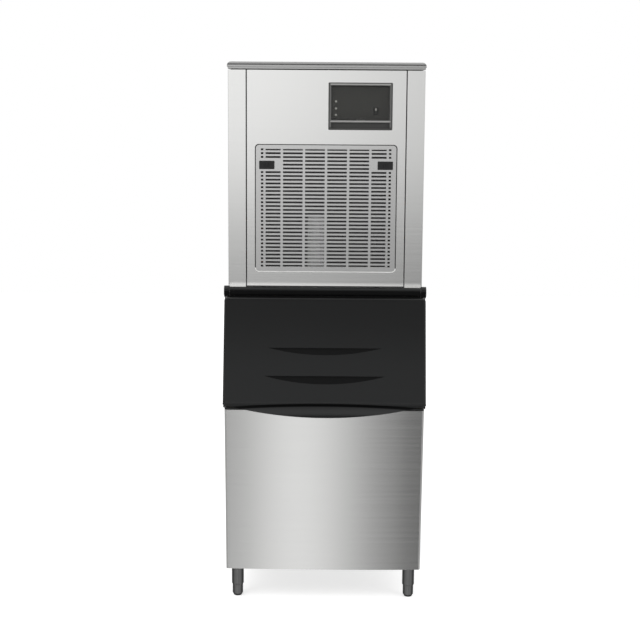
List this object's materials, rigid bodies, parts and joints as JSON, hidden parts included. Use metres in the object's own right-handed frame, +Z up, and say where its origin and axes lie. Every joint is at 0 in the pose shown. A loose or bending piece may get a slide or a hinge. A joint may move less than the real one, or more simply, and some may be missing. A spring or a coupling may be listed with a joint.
{
  "type": "ice cube machine",
  "caption": "Modular ice cube machine: a stainless head with an air grille on an insulated bin with a black lift-up door and levelling feet.",
  "frame": {"origin": "on the floor, under the middle of the bounding box", "axes": "+X to the right seen from the front, +Y to the back, +Z up"},
  "size_m": [0.569, 0.8742, 1.545],
  "materials": {
    "stainless": "brushed stainless sheet",
    "door_plastic": "fine textured black moulding",
    "liner_plastic": "smooth white moulding",
    "insulation": "foamed in place",
    "rubber": "soft black rubber",
    "leg_steel": "turned stainless",
    "foot_steel": "turned stainless",
    "grille_plastic": "silver grey moulding",
    "latch_plastic": "black moulding",
    "filter_plastic": "grey moulding",
    "filter_weave": "open nylon weave",
    "bezel_plastic": "dark grey moulding",
    "plate_plastic": "black moulding",
    "smoked_cover": "smoked clear moulding",
    "lens": "tinted lens",
    "fin_aluminium": "rolled fins",
    "copper": "drawn copper",
    "shroud_steel": "galvanised sheet",
    "fan_plastic": "black moulding",
    "motor_paint": "black paint",
    "evaporator_metal": "nickel plated",
    "pipe_plastic": "translucent pipe",
    "valve_brass": "cast brass"
  },
  "bodies": {
    "cabinet": {"back_panel": "stainless", "base_pan": "stainless", "bin_drain_fitting": "fan_plastic", "bin_foam": "insulation", "bin_front_panel": "stainless", "bin_liner": "liner_plastic", "bin_shell": "stainless", "circulation_pump": "fan_plastic", "compressor": "motor_paint", "compressor_mounts": "rubber", "condenser_fins": "fin_aluminium", "condenser_tubes": "copper", "control_bezel": "bezel_plastic", "control_plate": "plate_plastic", "divider_wall": "liner_plastic", "door_frame": "door_plastic", "door_gasket": "rubber", "door_hinge_pins": "leg_steel", "drop_ring": "rubber", "electrical_box": "shroud_steel", "evaporator": "evaporator_metal", "fan_motor": "motor_paint", "fan_shroud": "shroud_steel", "filter_drier": "copper", "filter_frame": "filter_plastic", "filter_mesh": "filter_weave", "float_stem": "leg_steel", "front_panel": "stainless", "head_drain_fitting": "fan_plastic", "hot_gas_valve": "copper", "ice_baffle": "liner_plastic", "indicator_lenses": "lens", "inlet_valve": "valve_brass", "intake_grille": "grille_plastic", "leg_front_left": "leg_steel", "leg_front_right": "leg_steel", "leg_rear_left": "leg_steel", "leg_rear_right": "leg_steel", "level_probe": "copper", "liquid_receiver": "motor_paint", "power_gland": "fan_plastic", "side_panel_left": "stainless", "side_panel_right": "stainless", "top_cover": "stainless", "top_deck": "stainless", "water_distributor": "pipe_plastic", "water_riser": "pipe_plastic", "water_trough": "liner_plastic"},
    "door": {"door": "door_plastic"},
    "control_cover": {"control_cover": "smoked_cover"},
    "rocker": {"rocker_switch": "latch_plastic"},
    "latch_left": {"grille_latch_left": "latch_plastic"},
    "latch_right": {"grille_latch_right": "latch_plastic"},
    "foot_front_left": {"foot_front_left": "foot_steel"},
    "foot_front_right": {"foot_front_right": "foot_steel"},
    "foot_rear_left": {"foot_rear_left": "foot_steel"},
    "foot_rear_right": {"foot_rear_right": "foot_steel"},
    "fan": {"fan_blade": "fan_plastic"},
    "curtain": {"splash_curtain": "liner_plastic"},
    "float": {"level_float": "liner_plastic"}
  },
  "joints": [
    {"name": "door_hinge", "type": "hinge", "parent": "cabinet", "child": "door", "pos_m": [0, -0.31685, 0.905], "axis": [-1, 0, 0], "range_deg": [0, 175]},
    {"name": "control_cover_hinge", "type": "hinge", "parent": "cabinet", "child": "control_cover", "pos_m": [0, -0.20385, 1.4766], "axis": [-1, 0, 0], "range_deg": [0, 90]},
    {"name": "rocker_tilt", "type": "hinge", "parent": "cabinet", "child": "rocker", "pos_m": [0.141, -0.18935, 1.408], "axis": [1, 0, 0], "range_deg": [-20, 0]},
    {"name": "latch_left_slide", "type": "slide", "parent": "cabinet", "child": "latch_left", "axis": [1, 0, 0], "range_m": [0, 0.006]},
    {"name": "latch_right_slide", "type": "slide", "parent": "cabinet", "child": "latch_right", "axis": [-1, 0, 0], "range_m": [0, 0.006]},
    {"name": "fan_spin", "type": "hinge", "parent": "cabinet", "child": "fan", "pos_m": [0, -0.05585, 1.126], "axis": [0, 1, 0], "continuous": true},
    {"name": "curtain_swing", "type": "hinge", "parent": "cabinet", "child": "curtain", "pos_m": [0, 0.34865, 1.29], "axis": [-1, 0, 0], "range_deg": [0, 25]},
    {"name": "float_slide", "type": "slide", "parent": "cabinet", "child": "float", "axis": [0, 0, 1], "range_m": [0, 0.014]},
    {"name": "foot_front_left_screw", "type": "slide", "parent": "cabinet", "child": "foot_front_left", "axis": [0, 0, -1], "range_m": [0, 0.02]},
    {"name": "foot_front_right_screw", "type": "slide", "parent": "cabinet", "child": "foot_front_right", "axis": [0, 0, -1], "range_m": [0, 0.02]},
    {"name": "foot_rear_left_screw", "type": "slide", "parent": "cabinet", "child": "foot_rear_left", "axis": [0, 0, -1], "range_m": [0, 0.02]},
    {"name": "foot_rear_right_screw", "type": "slide", "parent": "cabinet", "child": "foot_rear_right", "axis": [0, 0, -1], "range_m": [0, 0.02]}
  ]
}
